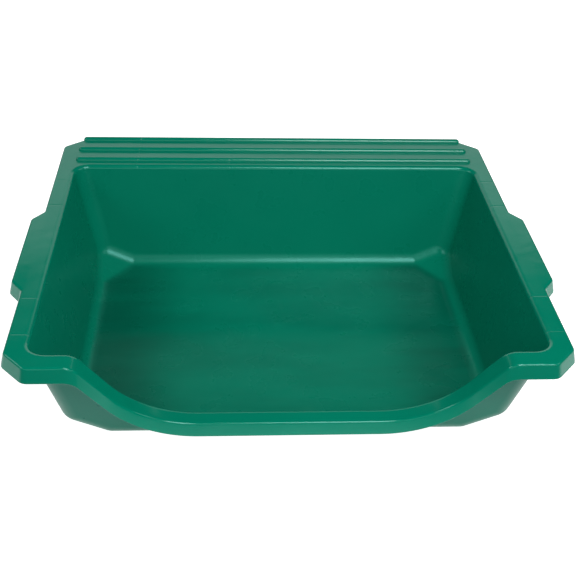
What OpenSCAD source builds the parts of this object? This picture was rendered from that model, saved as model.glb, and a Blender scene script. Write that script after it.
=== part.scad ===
// Potting tray: a wide, low basin with a ribbed rear ledge, two side grips and a deeply dipped
// front lip for sweeping soil in and out. The real tray is one moulding. Each module below is one
// region of it, and the regions meet face to face along the moulding's own edges.
//
// Frame: X to the right, Y to the rear, Z up. The origin is on the table, under the middle of the
// rim. The tray is symmetric about the plane X = 0.

/* [Rim] */
// Height of the rim's top face above the table
rim_h = 137; // [130:1:150]
// Width over the two side rims, without the grips
rim_w = 576; // [566:2:600]
// Depth over the front and rear rims
rim_d = 508; // [500:2:530]
// Height of the skirt that hangs from the rim's outer edge
skirt_h = 17; // [12:0.5:20]
// How far the skirt's lower edge stands out from the rim
skirt_flare = 4.4; // [2:0.1:6]
// Width of the cut across each rear corner of the rim, along X
rear_cut_x = 29; // [20:1:32]
// Depth of the cut across each rear corner of the rim, along Y
rear_cut_y = 24; // [18:1:30]
// Width of the cut across each front corner of the rim, along X
front_cut_x = 23; // [18:1:28]
// Depth of the cut across each front corner of the rim, along Y
front_cut_y = 25; // [18:1:30]

/* [Basin] */
// Thickness of the moulding
wall = 3; // [2:0.25:4]
// Width of the opening at the rim, between the side walls
opening_w = 533; // [520:1:540]
// Distance from the origin to the rear wall's inner face at the rim
opening_rear = 172; // [165:1:180]
// Distance from the origin to the front wall's inner face at the rim
opening_front = 230.5; // [225:0.5:235]
// Width of the floor, between the side walls
floor_w = 472; // [460:1:480]
// Distance from the origin to the floor's rear edge
floor_rear = 141; // [135:1:148]
// Distance from the origin to the floor's front edge
floor_front = 201.5; // [195:0.5:206]
// Inner radius where the walls meet each other and the floor
fillet = 20; // [14:1:24]

/* [Corner facets] */
// Length of each bevelled corner along the front or rear wall
facet_x = 50; // [44:1:56]
// Length of each bevelled corner along the side wall
facet_y = 65; // [58:1:70]
// Height of the rear bevelled corners above the floor
facet_rear_h = 22; // [20:1:28]
// Height of the front bevelled corners above the floor
facet_front_h = 32; // [26:1:36]

/* [Front lip] */
// How far the middle of the front lip lies below the rim
dip = 95; // [85:1:97]
// Half the width of the dip, from the middle to where it reaches the rim
dip_half = 228; // [222:1:232]
// Steepest slope of the lip, in degrees
dip_slope = 57; // [52:1:60]
// Radius of the convex bend where the dip leaves the rim
knee_r = 18; // [12:1:24]
// Radius of the hollow bend where the dip meets the level middle
bowl_r = 110; // [95:1:120]
// Width of the lip at its middle
lip_w = 20.5; // [16:0.5:24]
// Height of the skirt under the lip's middle
lip_skirt_h = 15; // [11:0.5:20]

/* [Grips] */
// How far each grip stands out from the side rim
grip_out = 13.6; // [12:0.1:20]
// Length of each grip's outer edge
grip_l = 134; // [120:2:150]
// Length of each slanted end of a grip, along the rim
grip_ramp = 18; // [14:1:24]
// Position of the grips' middle along Y
grip_y = -34; // [-45:1:-20]

/* [Ledge ribs] */
// Radius of the half-round ribs on the rear ledge
rib_r = 4.5; // [3:0.25:6]
// Distance between neighbouring ribs
rib_pitch = 30.5; // [26:0.5:33]
// Length of the middle and front ribs over their rounded ends
rib_l = 535; // [500:1:544]
// Length of the rear rib over its rounded ends
rear_rib_l = 528; // [490:1:535]

/* [Gussets] */
// Thickness of the gussets under the rim
gusset_t = 2.5; // [2:0.25:3.5]
// Distance between neighbouring gussets under the rear ledge
ledge_gusset_pitch = 122.5; // [110:0.5:125]
// Height of the ledge gussets against the rear wall
ledge_gusset_h = 46; // [30:1:60]
// Distance from the grips' middle to the nearer side gussets
side_gusset_near = 100; // [90:1:110]
// Distance from the grips' middle to the farther side gussets
side_gusset_far = 164.5; // [150:0.5:170]
// Height of the side gussets against the wall
side_gusset_h = 24; // [18:1:40]
// Distance of the front gussets from the middle of the tray
front_gusset_x = 234.5; // [231:0.5:242]

/* [Hidden] */

REAR = 1;
FRONT = -1;
LEFT = -1;
RIGHT = 1;

shell_green = [0.0, 0.42, 0.31];
rim_green = [0.02, 0.50, 0.38];
rib_green = [0.05, 0.56, 0.43];
under_green = [0.0, 0.34, 0.25];

half_w = rim_w / 2;
half_d = rim_d / 2;
under_z = rim_h - wall;
skirt_z = rim_h - skirt_h;
far = 400;
bracket_lip = 2;
sphere_fn = 32;
// A faceted sphere's lowest ring lies a little above its pole, so its radius is raised to suit.
pole_scale = 1 / cos(180 / sphere_fn);

// Slopes of the basin's walls: outward run per millimetre of height.
wall_rise = rim_h - wall;
side_run = (opening_w - floor_w) / 2 / wall_rise;
rear_run = (opening_rear - floor_rear) / wall_rise;
front_run = (opening_front - floor_front) / wall_rise;

// Where the basin's regions are parted, seen from above.
corner_x = 172;
rear_corner_y = 58;
front_corner_y = -118;
floor_x = 208;
floor_y_rear = 112;
floor_y_front = -172;
arc_reach = 21;

// ---- Basin ----------------------------------------------------------------------------------

function end_run(end) = end == REAR ? rear_run : front_run;
function end_floor(end) = end == REAR ? floor_rear : floor_front;
function facet_h(end) = end == REAR ? facet_rear_h : facet_front_h;

// Distance of a wall's inner face from the middle, at height z.
function side_at(z) = floor_w / 2 + (z - wall) * side_run;
function end_at(end, z) = end_floor(end) + (z - wall) * end_run(end);

// The same, moved inward by the fillet: the faces of the solid that the fillet ball rolls in.
function side_core(z) = side_at(z) - fillet * norm([1, side_run]);
function end_core(end, z) = end_at(end, z) - fillet * norm([1, end_run(end)]);

// Outward normal of a bevelled corner and its distance from the origin, for the corner at +X.
function facet_normal(end) =
    let (top = [side_at(wall + facet_h(end)), end_at(end, wall + facet_h(end)), wall + facet_h(end)])
    let (on_end = [floor_w / 2 - facet_x, end_floor(end), wall])
    let (on_side = [floor_w / 2, end_floor(end) - facet_y, wall])
    let (n = cross(on_end - top, on_side - top))
    n / norm(n) * (n[2] > 0 ? -1 : 1);
function facet_reach(end) =
    facet_normal(end) * [floor_w / 2, end_floor(end) - facet_y, wall] - fillet;

// Ball centres at one corner (+X, and +Y standing for outward): rim, facet top, facet feet.
function corner_core(end) =
    let (n = facet_normal(end), reach = facet_reach(end), base = wall + fillet)
    let (low = [side_core(base), end_core(end, base), base])
    let (climb = [side_run, end_run(end), 1])
    let (top_lift = (reach - n * low) / (n * climb))
    [
        low + climb * (rim_h - base + fillet),
        low + climb * top_lift,
        [(reach - n[1] * low[1] - n[2] * base) / n[0], low[1], base],
        [low[0], (reach - n[0] * low[0] - n[2] * base) / n[1], base],
    ];

// The basin's rounded form, grown outward by skin: 0 for the inside, wall for the outside.
module basin_form(skin)
    hull()
        for (side = [LEFT, RIGHT], end = [REAR, FRONT], c = corner_core(end))
            translate([side * c[0], end * c[1], c[2]])
                sphere(r = (fillet + skin) * pole_scale, $fn = sphere_fn);

// Everything below the rim's underside, with the dip cut out of the front.
module below_rim() {
    linear_extrude(under_z)
        translate([-far, floor_y_front])
            square([2 * far, 2 * far]);
    translate([0, floor_y_front, 0])
        rotate([90, 0, 0])
            linear_extrude(far)
                polygon(concat(
                    [[-far, 0], [-far, under_z]],
                    [for (x = lip_stations) [x, lip_under(x)]],
                    [[far, under_z], [far, 0]]
                ));
}

// The part of the basin's shell that stands on a region of the plan.
module basin_region(outline)
    intersection() {
        difference() {
            basin_form(wall);
            basin_form(0);
        }
        linear_extrude(rim_h)
            polygon(outline);
        below_rim();
    }

function block(x0, x1, y0, y1) = [[x0, y0], [x1, y0], [x1, y1], [x0, y1]];

module floor_pan()
    color(shell_green)
        basin_region([
            [-corner_x, floor_y_front], [corner_x, floor_y_front],
            [corner_x, front_corner_y], [floor_x, front_corner_y],
            [floor_x, rear_corner_y], [corner_x, rear_corner_y],
            [corner_x, floor_y_rear], [-corner_x, floor_y_rear],
            [-corner_x, rear_corner_y], [-floor_x, rear_corner_y],
            [-floor_x, front_corner_y], [-corner_x, front_corner_y],
        ]);

module rear_wall()
    color(shell_green)
        basin_region(block(-corner_x, corner_x, floor_y_rear, far));

module front_wall()
    color(shell_green)
        basin_region(block(-corner_x, corner_x, -far, floor_y_front));

// Draws its children, made for the right-hand side, on the chosen side.
module on_side(side)
    mirror([side == LEFT ? 1 : 0, 0, 0])
        children();

module side_wall(side)
    color(shell_green)
        on_side(side)
            basin_region(block(floor_x, far, front_corner_y, rear_corner_y));

module corner(side, end)
    color(under_green)
        on_side(side)
            basin_region(end == REAR
                ? block(corner_x, far, rear_corner_y, far)
                : block(corner_x, far, -far, front_corner_y));

// ---- Front lip ------------------------------------------------------------------------------

knee_end = dip_half - knee_r * sin(dip_slope);
knee_drop = knee_r * (1 - cos(dip_slope));
bowl_rise = bowl_r * (1 - cos(dip_slope));
bowl_start = knee_end - (dip - knee_drop - bowl_rise) / tan(dip_slope);
flat_half = bowl_start - bowl_r * sin(dip_slope);

// Drop of the lip below the rim at a distance x from the middle.
function drop_at(x) =
    let (a = abs(x))
    a >= dip_half ? 0
    : a >= knee_end ? knee_r * (1 - cos(asin((dip_half - a) / knee_r)))
    : a >= bowl_start ? knee_drop + (knee_end - a) * tan(dip_slope)
    : a >= flat_half ? dip - bowl_r * (1 - cos(asin((a - flat_half) / bowl_r)))
    : dip;

// Slope angle of the lip at x.
function slope_at(x) =
    let (a = abs(x))
    a >= dip_half ? 0
    : a >= knee_end ? asin((dip_half - a) / knee_r)
    : a >= bowl_start ? dip_slope
    : a >= flat_half ? asin((a - flat_half) / bowl_r)
    : 0;

function lip_top(x) = rim_h - drop_at(x);
function lip_under(x) = lip_top(x) - wall / cos(slope_at(x));
function lip_inner(x) = -opening_front + drop_at(x) * front_run;
function lip_inner_under(x) = -opening_front + (rim_h - lip_under(x)) * front_run;
function lip_width(x) = half_d - opening_front - (half_d - opening_front - lip_w) * drop_at(x) / dip;
function lip_outer(x) = lip_inner(x) - lip_width(x);
function lip_skirt_low(x) = lip_top(x) - skirt_h + (skirt_h - lip_skirt_h) * drop_at(x) / dip;

knee_steps = 6;
bowl_steps = 10;
half_stations = concat(
    [for (i = [0 : knee_steps]) dip_half - knee_r * sin(dip_slope * i / knee_steps)],
    [for (i = [bowl_steps : -1 : 0]) flat_half + bowl_r * sin(dip_slope * i / bowl_steps)]
);
lip_stations = concat(
    [for (x = half_stations) -x],
    [for (i = [len(half_stations) - 1 : -1 : 0]) half_stations[i]]
);

// A closed solid through a row of four-point rings, which run clockwise seen from the row's start.
module sweep(rings) {
    last = len(rings) - 1;
    polyhedron(
        points = [for (ring = rings) each ring],
        faces = concat(
            [[3, 2, 1, 0]],
            [for (i = [0 : last - 1], k = [0 : 3])
                let (a = 4 * i + k, b = 4 * i + (k + 1) % 4)
                each [[a, b, b + 4], [a, b + 4, a + 4]]],
            [[4 * last, 4 * last + 1, 4 * last + 2, 4 * last + 3]]
        )
    );
}

module scoop_lip()
    color(rim_green)
        sweep([
            for (x = lip_stations) [
                [x, lip_outer(x), lip_top(x)],
                [x, lip_outer(x), lip_under(x)],
                [x, lip_inner_under(x), lip_under(x)],
                [x, lip_inner(x), lip_top(x)],
            ]
        ]);

module scoop_skirt()
    color(rim_green)
        sweep([
            for (x = lip_stations) [
                [x, lip_outer(x), lip_under(x)],
                [x, lip_outer(x) - skirt_flare, lip_skirt_low(x)],
                [x, lip_outer(x) - skirt_flare + wall, lip_skirt_low(x)],
                [x, lip_outer(x) + wall, lip_under(x)],
            ]
        ]);

// ---- Rim ------------------------------------------------------------------------------------

grip_x = half_w + grip_out;
grip_half = grip_l / 2;
grip_base = grip_half + grip_ramp;

// The right half of the rim's outer edge, from the rear cut round to the dip.
right_edge = [
    [half_w - rear_cut_x, half_d],
    [half_w, half_d - rear_cut_y],
    [half_w, grip_y + grip_base],
    [grip_x, grip_y + grip_half],
    [grip_x, grip_y - grip_half],
    [half_w, grip_y - grip_base],
    [half_w, -half_d + front_cut_y],
    [half_w - front_cut_x, -half_d],
    [dip_half, -half_d],
];
edge_dip = len(right_edge) - 1;

// Point k of the edge, moved outward by d along the mitre of its two neighbouring sides.
function outward(a, b) = let (v = b - a) [-v[1], v[0]] / norm(v);
function edge_normal(k) = outward(right_edge[k], right_edge[k + 1]);
function edge_point(k, d) =
    let (before = k == 0 ? [0, 1] : edge_normal(k - 1))
    let (after = k == edge_dip ? [0, -1] : edge_normal(k))
    right_edge[k] + (before + after) * d / (1 + before * after);

// The skirt's section at point k of the edge.
function skirt_ring(k) =
    let (top = edge_point(k, 0), low = edge_point(k, skirt_flare))
    let (top_in = edge_point(k, -wall), low_in = edge_point(k, skirt_flare - wall)) [
        [top[0], top[1], under_z],
        [top_in[0], top_in[1], under_z],
        [low_in[0], low_in[1], skirt_z],
        [low[0], low[1], skirt_z],
    ];

module skirt_run(side, first, last)
    color(rim_green)
        on_side(side)
            sweep([for (k = [first : last]) skirt_ring(k)]);

// The rear skirt runs across the back and over both rear cuts.
module rear_skirt()
    color(rim_green)
        sweep(concat(
            [for (k = [1, 0]) [for (i = [0 : 3]) let (p = skirt_ring(k)[i]) [-p[0], p[1], p[2]]]],
            [for (k = [0, 1]) skirt_ring(k)]
        ));

// A region of the rim's flat plate, with the basin's mouth cut out of it.
module rim_plate(outline)
    color(rim_green)
        difference() {
            translate([0, 0, under_z])
                linear_extrude(wall)
                    polygon(outline);
            basin_form(0);
        }

ledge_front_y = opening_rear - arc_reach;
deck_rear_y = -opening_front + arc_reach;

module rear_ledge()
    rim_plate(concat(
        [for (side = [LEFT, RIGHT]) [side * half_w, ledge_front_y]],
        [right_edge[1], right_edge[0]],
        [for (k = [0, 1]) [-right_edge[k][0], right_edge[k][1]]]
    ));

module side_rim(side)
    on_side(side)
        rim_plate(block(opening_w / 2 - arc_reach, half_w, deck_rear_y, ledge_front_y));

module grip(side)
    color(rim_green)
        on_side(side)
            translate([0, 0, under_z])
                linear_extrude(wall)
                    polygon([for (k = [2 : 5]) right_edge[k]]);

module front_deck(side)
    on_side(side)
        rim_plate([
            [half_w, deck_rear_y], right_edge[6], right_edge[7], right_edge[8],
            [dip_half, deck_rear_y],
        ]);

// ---- Ledge ribs -----------------------------------------------------------------------------

rear_rib_y = half_d - rib_r;

module ledge_rib(number, length)
    color(rib_green)
        translate([0, rear_rib_y - number * rib_pitch, rim_h])
            intersection() {
                union() {
                    rotate([0, 90, 0])
                        cylinder(r = rib_r, h = length - 2 * rib_r, center = true, $fn = 48);
                    for (side = [LEFT, RIGHT])
                        translate([side * (length / 2 - rib_r), 0, 0])
                            sphere(r = rib_r, $fn = 48);
                }
                translate([-far, -rib_r, 0])
                    cube([2 * far, 2 * rib_r, rib_r]);
            }

// ---- Gussets --------------------------------------------------------------------------------

// A flat bracket between a wall's outer face and the skirt, drawn in the wall's own section:
// u runs outward from the wall's inner face at the floor, v is height.
module bracket(run, floor_u, skirt_u, height) {
    outer_u = floor_u + wall * norm([1, run]);
    low_z = under_z - height;
    rotate([90, 0, 0])
        translate([0, 0, -gusset_t / 2])
            linear_extrude(gusset_t)
                polygon([
                    [outer_u + (low_z - wall) * run, low_z],
                    [skirt_u, skirt_z + bracket_lip],
                    [skirt_u, under_z],
                    [outer_u + (under_z - wall) * run, under_z],
                ]);
}

module ledge_gusset(number)
    color(under_green)
        translate([(number - 2.5) * ledge_gusset_pitch, 0, 0])
            rotate([0, 0, 90])
                bracket(rear_run, floor_rear, half_d - wall, ledge_gusset_h);

side_gusset_ys = [
    grip_y + side_gusset_far, grip_y + side_gusset_near,
    grip_y - side_gusset_near, grip_y - side_gusset_far
];

module side_gusset(side, number)
    color(under_green)
        on_side(side)
            translate([0, side_gusset_ys[number - 1], 0])
                bracket(side_run, floor_w / 2, half_w - wall, side_gusset_h);

module front_gusset(side)
    color(under_green)
        translate([side * front_gusset_x, 0, 0])
            rotate([0, 0, -90])
                bracket(front_run, floor_front, half_d - wall, side_gusset_h);

// ---- Assembly -------------------------------------------------------------------------------

floor_pan();
rear_wall();
side_wall(LEFT);  // left_wall
side_wall(RIGHT);  // right_wall
front_wall();
corner(LEFT, REAR);  // rear_left_corner
corner(RIGHT, REAR);  // rear_right_corner
corner(LEFT, FRONT);  // front_left_corner
corner(RIGHT, FRONT);  // front_right_corner
rear_ledge();
ledge_rib(0, rear_rib_l);  // ledge_rib_rear
ledge_rib(1, rib_l);  // ledge_rib_middle
ledge_rib(2, rib_l);  // ledge_rib_front
side_rim(LEFT);  // left_rim
side_rim(RIGHT);  // right_rim
grip(LEFT);  // left_grip
grip(RIGHT);  // right_grip
front_deck(LEFT);  // front_left_deck
front_deck(RIGHT);  // front_right_deck
scoop_lip();
scoop_skirt();
rear_skirt();
skirt_run(LEFT, 1, 2);  // left_rear_skirt
skirt_run(RIGHT, 1, 2);  // right_rear_skirt
skirt_run(LEFT, 2, 5);  // left_grip_skirt
skirt_run(RIGHT, 2, 5);  // right_grip_skirt
skirt_run(LEFT, 5, 6);  // left_front_skirt
skirt_run(RIGHT, 5, 6);  // right_front_skirt
skirt_run(LEFT, 6, 8);  // front_left_skirt
skirt_run(RIGHT, 6, 8);  // front_right_skirt
ledge_gusset(1);  // ledge_gusset_1
ledge_gusset(2);  // ledge_gusset_2
ledge_gusset(3);  // ledge_gusset_3
ledge_gusset(4);  // ledge_gusset_4
side_gusset(LEFT, 1);  // left_gusset_1
side_gusset(LEFT, 2);  // left_gusset_2
side_gusset(LEFT, 3);  // left_gusset_3
side_gusset(LEFT, 4);  // left_gusset_4
side_gusset(RIGHT, 1);  // right_gusset_1
side_gusset(RIGHT, 2);  // right_gusset_2
side_gusset(RIGHT, 3);  // right_gusset_3
side_gusset(RIGHT, 4);  // right_gusset_4
front_gusset(LEFT);  // front_left_gusset
front_gusset(RIGHT);  // front_right_gusset
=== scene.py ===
"""Potting tray: a green moulded basin with a ribbed rear ledge, two side grips and a dipped front lip.

The tray is one moulding. Every visible piece here stands for one region of it, and neighbouring
pieces share their edge points and their surface normals, so that the seams don't show.
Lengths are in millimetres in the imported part's own frame, and become metres when a mesh is made.
Those of the looks and the studio are in metres, as Blender takes them.
"""

import math

import bpy
from mathutils import Matrix, Vector


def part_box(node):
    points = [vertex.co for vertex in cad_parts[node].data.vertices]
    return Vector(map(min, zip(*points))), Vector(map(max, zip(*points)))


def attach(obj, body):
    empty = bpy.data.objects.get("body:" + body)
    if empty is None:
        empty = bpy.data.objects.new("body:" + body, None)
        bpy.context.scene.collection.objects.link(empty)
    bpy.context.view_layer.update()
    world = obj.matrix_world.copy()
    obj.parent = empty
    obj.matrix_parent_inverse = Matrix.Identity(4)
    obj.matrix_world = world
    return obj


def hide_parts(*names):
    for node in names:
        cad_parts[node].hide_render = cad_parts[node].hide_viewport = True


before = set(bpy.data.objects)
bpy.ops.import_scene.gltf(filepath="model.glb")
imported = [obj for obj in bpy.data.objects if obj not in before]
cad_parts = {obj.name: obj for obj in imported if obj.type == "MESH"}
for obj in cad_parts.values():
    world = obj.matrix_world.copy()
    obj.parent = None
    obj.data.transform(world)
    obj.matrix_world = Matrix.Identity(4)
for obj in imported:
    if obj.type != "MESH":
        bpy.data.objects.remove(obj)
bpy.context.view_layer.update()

MM = 0.001
UP = Vector((0, 0, 1))
REAR, FRONT = 1, -1
LEFT, RIGHT = -1, 1
SIDES = ((LEFT, "left"), (RIGHT, "right"))
X_AXIS, Y_AXIS = 0, 1

# ---- Sizes that the frame's boxes give ----


def corner_of(node, high):
    """The high or the low corner of a node's box, in millimetres."""
    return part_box(node)[1 if high else 0] / MM


def middle_of(node, axis):
    """The middle of a node's box along an axis, in millimetres."""
    return (corner_of(node, False)[axis] + corner_of(node, True)[axis]) / 2


rim_z = corner_of("rear_ledge", True).z
half_w = corner_of("rear_ledge", True).x
half_d = corner_of("rear_ledge", True).y
grip_x = corner_of("right_grip", True).x
grip_top_y = corner_of("right_grip", True).y
grip_low_y = corner_of("right_grip", False).y
wall = corner_of("floor_pan", True).z
skirt_z = corner_of("right_rear_skirt", False).z
flare = corner_of("right_rear_skirt", True).x - half_w
dip_half = corner_of("scoop_lip", True).x
rib_r = corner_of("ledge_rib_rear", True).z - rim_z

under_z = rim_z - wall
skirt_h = rim_z - skirt_z

# ---- Sizes that the boxes don't give, as in the part ----

# The basin: its mouth, its floor, the fillets and the sloping facet in each floor corner.
FILLET = 20
OPENING_HALF_W = 266.5
OPENING_END = {REAR: 172.0, FRONT: 230.5}
FLOOR_HALF_W = 236.0
FLOOR_END = {REAR: 141.0, FRONT: 201.5}
FACET_X = 50
FACET_Y = 65
FACET_H = {REAR: 22, FRONT: 32}

# The rim's outline: how far its cut corners run along X and Y, and the grips' slanted ends.
REAR_CUT = (29, 24)
FRONT_CUT = (23, 25)
GRIP_RAMP = 18

# The front lip: its depth below the rim, the knee and the bowl that the slope runs between, its
# width and its skirt's height.
DIP = 95
KNEE_R = 18
BOWL_R = 110
DIP_SLOPE = math.radians(57)
LIP_W = 20.5
LIP_SKIRT_H = 15

# Where the basin's regions are parted, and how far in from the mouth's ends the rim's are.
CORNER_X = 172
CORNER_Y = {REAR: 58, FRONT: 118}
FLOOR_X = 208
FLOOR_Y = {REAR: 112, FRONT: 172}
ARC_REACH = 21
LEDGE_FRONT_Y = OPENING_END[REAR] - ARC_REACH
DECK_REAR_Y = -OPENING_END[FRONT] + ARC_REACH

# The gussets of one row, and how far the outer end of each stands above the skirt's foot.
GUSSET_NUMBERS = (1, 2, 3, 4)
GUSSET_RISE = 2

RIBS = ("ledge_rib_rear", "ledge_rib_middle", "ledge_rib_front")

# ---- Sizes that only the visual model has ----

# The rounding of the mouth, how far in the rim's flat top ends, and the corners of its outline.
MOUTH_R = 6
EDGE_IN = 2.5
OUTLINE_R = 9
OUTLINE_HOLLOW_R = 10

# The rounding of the skirt's foot, outside and inside, and of the hollow under the rim.
SKIRT_OUTER_R = 1.1
SKIRT_INNER_R = 0.8
SKIRT_HOLLOW_R = 1.5

# How deep the ribs' feet are sunk into the ledge.
RIB_SINK = 1.5

# How many faces each rounding has.
ARC_STEPS = 8
OUTLINE_STEPS = 6
SKIRT_EDGE_STEPS = 6
SKIRT_OUTER_STEPS = 4
SKIRT_INNER_STEPS = 3
KNEE_STEPS = 10
BOWL_STEPS = 20
RIB_END_STEPS = 8
RIB_STEPS = 14

# Points that agree to this many decimals are one point, and stations this close are one station.
MERGE_DECIMALS = 3
SAME_PLACE = 1e-3

# Angles and face areas below this count as none.
TINY = 1e-6

# ---- Looks ----

# Base colours. The tints colour the reflections: they take out the red that the photo doesn't have.
RIM_GREEN = (0.0, 0.247, 0.15)
# The basin's green is a darker copy of the rim's green: painted shade for the inside of the basin.
BASIN_GREEN_WITH_PAINTED_SHADE = (0.0, 0.231, 0.139)
BASIN_TINT = (0.36, 1, 0.95, 1)
DEEP_TINT = (0.5, 1, 0.97, 1)
EDGE_TINT = (0.55, 1, 0.97, 1)
RIB_TINT = (0.8, 1, 0.97, 1)
PLASTIC_IOR = 1.49

# Roughness, from the smoothest places to the dullest.
BASIN_SHINE = (0.26, 0.32)
RIM_SHINE = (0.12, 0.18)
LEDGE_SHINE = (0.16, 0.22)
RIB_SHINE = (0.1, 0.15)

# Noise, as scale and detail. Only the middle of its range is used.
CLOUDS = (7, 4)
WEAR = (23, 5)
WAVES = (26, 2)
GRAIN = (700, 2)
STREAKS = (6, 6)
NOISE_MIDDLE = (0.3, 0.7)
STREAK_MIDDLE = (0.35, 0.65)

# How dark the flow marks are, and the painted shade on the faces that look down and out. Those
# turn dark between two values of their normal's Z.
CLOUD_SHADE = 0.95
DOWNWARD_SHADE_NORMAL_Z = (-0.12, -0.02)
DOWNWARD_PAINTED_SHADE = 0.6

# The skin's relief: its depth, shares of that depth, and the half widths of a sink line where it's
# deepest and where it ends.
BUMP_DEPTH = 0.0006
WAVE_HEIGHT = 0.7
GRAIN_HEIGHT = 0.02
SINK_DEPTH = 0.2
SINK_HALF_WIDTHS = (0.0004, 0.002)

# The basin floor: the painted shade towards its sides, where its look ends on the fillets, the
# streaks across it and the mark of the gate.
FLOOR_PAINTED_SHADE_SPAN = (0.11, 0.2)
FLOOR_SIDE_PAINTED_SHADE = 0.68
FLOOR_HEIGHTS = (0.0032, 0.007)
FLOOR_UP = (0.5, 0.9)
STREAK_TURN = math.radians(35)
STREAK_STRETCH = (1, 4, 1)
STREAK_LOSS = 0.13
GATE_PLACE = (-0.002, -0.007, 0.003)
GATE_RADII = (0.001, 0.006)
GATE_LOSS = 0.3

# ---- Studio ----

# The table lies a little below the tray, so that it doesn't coincide with the tray's underside.
# In front of the tray, between two values of Y, it turns dark and its glow ends.
TABLE_REACH = 12
TABLE_Z = -0.0004
TABLE_ROUGHNESS = 0.9
TABLE_DARK = 0.12
TABLE_PALE = 0.8
TABLE_FADE = (-0.5, -0.3)

# The table and the world are white to the camera. This is what they give as lights.
TABLE_GLOW = 0.62
WORLD_GLOW = 0.01

# Name, azimuth and elevation in degrees, distance, size and radiance. Azimuth 0 is in front of
# the tray, and 90 is to its right.
LIGHTS = [
    ("front", -5, 26, 2.0, (3.2, 0.8), 1.0),
    ("left", 275, 36, 2.0, (1.2, 0.6), 3.1),
    ("key", 24, 56, 2.0, (0.85, 1.05), 9.0),
    ("right", 78, 38, 2.0, (1.2, 0.6), 1.6),
    ("backdrop", 181, 17, 2.0, (2.2, 1.2), 0.84),
]
LIGHT_AIM = (0, 0, 0.1)

# The camera that a fit to the photo gave: angles in radians, place and lens in millimetres.
CAMERA_YAW = 0.0768
CAMERA_PITCH = 0.5975
CAMERA_ROLL = 0.0401
CAMERA_PLACE = (-67.9, -1002.4, 741.1)
CAMERA_LENS = 61.115
CAMERA_SIGHT = (0.05, 100)


# ---- Closed solids with their own normals ----


class Solid:
    """Collects faces with a normal at each corner, and makes one mesh object of them."""

    def __init__(self):
        self.points = []
        self.index = {}
        self.faces = []
        self.normals = []

    def point(self, p):
        """The number of a point, which is added if it's new."""
        key = tuple(round(c, MERGE_DECIMALS) for c in p)
        if key not in self.index:
            self.index[key] = len(self.points)
            self.points.append(Vector(p))
        return self.index[key]

    def face(self, points, normals):
        """Adds a face. normals is one per corner, or one rough outward direction for a flat face."""
        ids = []
        kept = []
        several = not isinstance(normals, Vector)
        for k, p in enumerate(points):
            i = self.point(p)
            if i in ids:
                continue
            ids.append(i)
            kept.append(normals[k] if several else normals)
        if len(ids) < 3:
            return
        across = Vector((0, 0, 0))
        first = self.points[ids[0]]
        for a, b in zip(ids[1:], ids[2:]):
            across += (self.points[a] - first).cross(self.points[b] - first)
        if across.length < TINY:
            return
        across.normalize()
        hint = sum(kept, Vector((0, 0, 0)))
        if across.dot(hint) < 0:
            ids.reverse()
            kept.reverse()
            across = -across
        if not several:
            kept = [across] * len(ids)
        self.faces.append(ids)
        self.normals.append([n.normalized() for n in kept])

    def strip(self, row_a, row_b, normals_a, normals_b):
        """Quads between two rows of points."""
        for k in range(len(row_a) - 1):
            self.face(
                [row_a[k], row_a[k + 1], row_b[k + 1], row_b[k]],
                [normals_a[k], normals_a[k + 1], normals_b[k + 1], normals_b[k]],
            )

    def flat_strip(self, row_a, row_b, hint):
        """Hidden or plain quads between two rows of points, each with its own flat normal."""
        for k in range(len(row_a) - 1):
            self.face([row_a[k], row_a[k + 1], row_b[k + 1], row_b[k]], hint)

    def prism(self, outline, low, high, open_points=0):
        """A slab between two heights over a plan outline, open along its first open_points points."""
        self.face([Vector((x, y, high)) for x, y in outline], UP)
        self.face([Vector((x, y, low)) for x, y in outline], -UP)
        area = 0
        for (x0, y0), (x1, y1) in zip(outline, outline[1:] + outline[:1]):
            area += x0 * y1 - x1 * y0
        turn = 1 if area > 0 else -1
        for k, ((x0, y0), (x1, y1)) in enumerate(zip(outline, outline[1:] + outline[:1])):
            if k < open_points - 1:
                continue
            hint = Vector((y1 - y0, x0 - x1, 0)) * turn
            ring = [(x0, y0, low), (x1, y1, low), (x1, y1, high), (x0, y0, high)]
            self.face([Vector(p) for p in ring], hint)

    def build(self, name, slot, material, *nodes):
        """Makes the object, hangs it on the root body and hides the parts that it stands for."""
        mesh = bpy.data.meshes.new(name)
        mesh.from_pydata([p * MM for p in self.points], [], self.faces)
        mesh.polygons.foreach_set("use_smooth", [True] * len(mesh.polygons))
        mesh.normals_split_custom_set([n for face in self.normals for n in face])
        mesh.materials.append(material)
        piece = bpy.data.objects.new(name, mesh)
        bpy.context.collection.objects.link(piece)
        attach(piece, "root")
        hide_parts(*nodes)


def slerp(a, b, t):
    """Direction a share t of the way from a to b."""
    angle = a.angle(b)
    if angle < TINY:
        return a.copy()
    return (a * math.sin((1 - t) * angle) + b * math.sin(t * angle)) / math.sin(angle)


def arc(a, b, steps=ARC_STEPS):
    """Directions from a to b in even steps."""
    return [slerp(a, b, k / steps) for k in range(steps + 1)]


# ---- The basin's rounded form ----

side_run = (OPENING_HALF_W - FLOOR_HALF_W) / (rim_z - wall)
end_run = {e: (OPENING_END[e] - FLOOR_END[e]) / (rim_z - wall) for e in (REAR, FRONT)}
side_normal = Vector((1, 0, -side_run)).normalized()
end_normal = {e: Vector((0, 1, -end_run[e])).normalized() for e in (REAR, FRONT)}


def plane_point(n1, d1, n2, d2, n3, d3):
    """The point where three planes meet."""
    volume = n1.dot(n2.cross(n3))
    return (n2.cross(n3) * d1 + n3.cross(n1) * d2 + n1.cross(n2) * d3) / volume


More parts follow.
